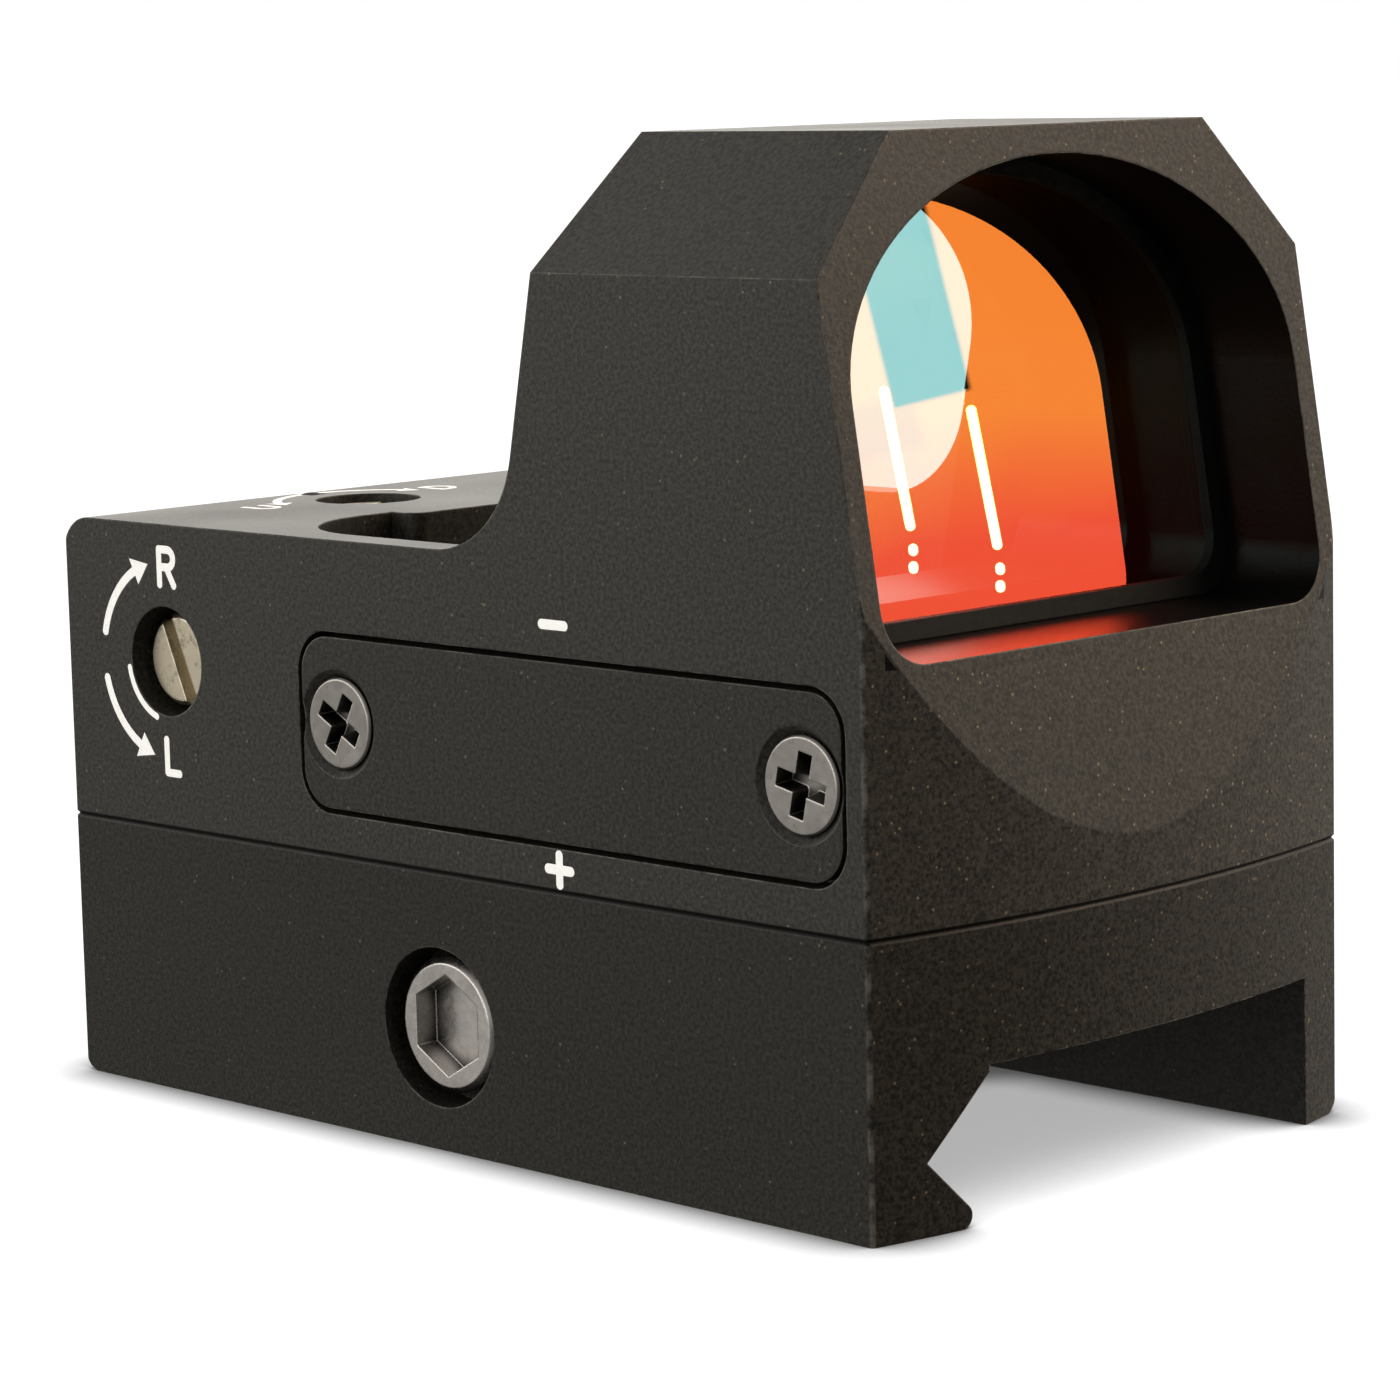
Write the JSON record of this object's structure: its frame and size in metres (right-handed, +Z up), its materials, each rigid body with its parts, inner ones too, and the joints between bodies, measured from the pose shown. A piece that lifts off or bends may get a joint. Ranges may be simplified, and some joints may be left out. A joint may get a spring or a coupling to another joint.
{
  "type": "red dot finder",
  "caption": "Compact open reflex sight with a tilted coated lens in a chamfered hood, side battery drawer, slotted windage and elevation screws, and a cross-bolt rail clamp.",
  "frame": {"origin": "centre of the footprint, on the plane of the mount's feet", "axes": "+Z up, -Y towards the front (objective) end, -X the side with the battery cover and windage screw"},
  "size_m": [0.03, 0.0518, 0.0434],
  "materials": {
    "anodised_body": "matte black hard anodised, fine bead-blasted grain",
    "white_paint": "white paint filled into engraving",
    "coated_glass": "polished, reflecting orange and passing blue-green",
    "clear_glass": "polished clear",
    "black_rubber": "satin moulded",
    "black_steel": "black-plated steel, semi-gloss",
    "bright_steel": "plain steel",
    "brass": "nickel-washed brass, turned",
    "plain_aluminium": "milled",
    "black_plastic": "moulded",
    "board_laminate": "green solder mask",
    "emitter_die": "clear-cased red emitter"
  },
  "bodies": {
    "housing": {"housing": "anodised_body", "mount_base": "anodised_body", "battery_cover": "anodised_body", "button_ring": "anodised_body", "windage_marks": "white_paint", "polarity_marks": "white_paint", "elevation_marks": "white_paint", "lens_front_element": "coated_glass", "lens_rear_element": "coated_glass", "emitter_window": "clear_glass", "lens_seal": "black_rubber", "base_gasket": "black_rubber", "cover_seal": "black_rubber", "windage_o_ring": "black_rubber", "elevation_o_ring": "black_rubber", "coin_cell_gasket": "black_rubber", "base_screws": "black_steel", "cover_screws": "black_steel", "jaw_guide_pin": "bright_steel", "base_dowels": "bright_steel", "coin_cell_can": "bright_steel", "coin_cell_cap": "bright_steel", "switch_dome": "bright_steel", "elevation_spring": "bright_steel", "contact_positive": "brass", "contact_negative": "brass", "battery_tray": "black_plastic", "board_components": "black_plastic", "board_spacers": "black_plastic", "circuit_board": "board_laminate", "switch_board": "board_laminate"},
    "clamp_jaw": {"clamp_jaw": "anodised_body"},
    "clamp_screw": {"clamp_screw": "black_steel"},
    "windage_screw": {"windage_screw": "brass", "windage_clip": "bright_steel"},
    "windage_follower": {"windage_follower": "brass"},
    "elevation_screw": {"elevation_screw": "brass", "elevation_clip": "bright_steel"},
    "elevation_slide": {"elevation_slide": "plain_aluminium", "windage_spring": "bright_steel"},
    "emitter_carriage": {"emitter_carriage": "plain_aluminium", "emitter_board": "board_laminate", "emitter_chip": "emitter_die"},
    "power_button": {"power_button": "black_rubber"}
  },
  "joints": [
    {"name": "clamp_screw_turn", "type": "hinge", "parent": "housing", "child": "clamp_screw", "pos_m": [0, 0.0009, 0.0054], "axis": [1, 0, 0], "range_deg": [-540, 60]},
    {"name": "clamp_jaw_travel", "type": "slide", "parent": "housing", "child": "clamp_jaw", "axis": [1, 0, 0], "range_m": [-0.00012, 0.00104]},
    {"name": "windage_screw_turn", "type": "hinge", "parent": "housing", "child": "windage_screw", "pos_m": [-0.013, 0.01868, 0.01986], "axis": [1, 0, 0], "range_deg": [-450, 450]},
    {"name": "windage_follower_travel", "type": "slide", "parent": "housing", "child": "windage_follower", "axis": [1, 0, 0], "range_m": [-0.00056, 0.00056]},
    {"name": "elevation_screw_turn", "type": "hinge", "parent": "housing", "child": "elevation_screw", "pos_m": [-0.002, 0.0194, 0.025], "axis": [0, 0, 1], "range_deg": [-450, 450]},
    {"name": "elevation_slide_travel", "type": "slide", "parent": "housing", "child": "elevation_slide", "axis": [0, 0, 1], "range_m": [-0.00056, 0.00056], "deforming": ["elevation_spring"]},
    {"name": "emitter_carriage_travel", "type": "slide", "parent": "elevation_slide", "child": "emitter_carriage", "axis": [1, 0, 0], "range_m": [-0.00057, 0.00057], "deforming": ["windage_spring"]},
    {"name": "power_button_press", "type": "slide", "parent": "housing", "child": "power_button", "axis": [1, 0, 0], "range_m": [-0.00035, 0], "stiffness_N_per_m": 1200}
  ],
  "couplings": [
    {"joint": "clamp_screw_turn", "follows": "clamp_jaw_travel", "rad_per_m": -8976},
    {"joint": "windage_screw_turn", "follows": "windage_follower_travel", "rad_per_m": -13963},
    {"joint": "emitter_carriage_travel", "follows": "windage_follower_travel", "ratio": 1},
    {"joint": "elevation_screw_turn", "follows": "elevation_slide_travel", "rad_per_m": -13963}
  ]
}
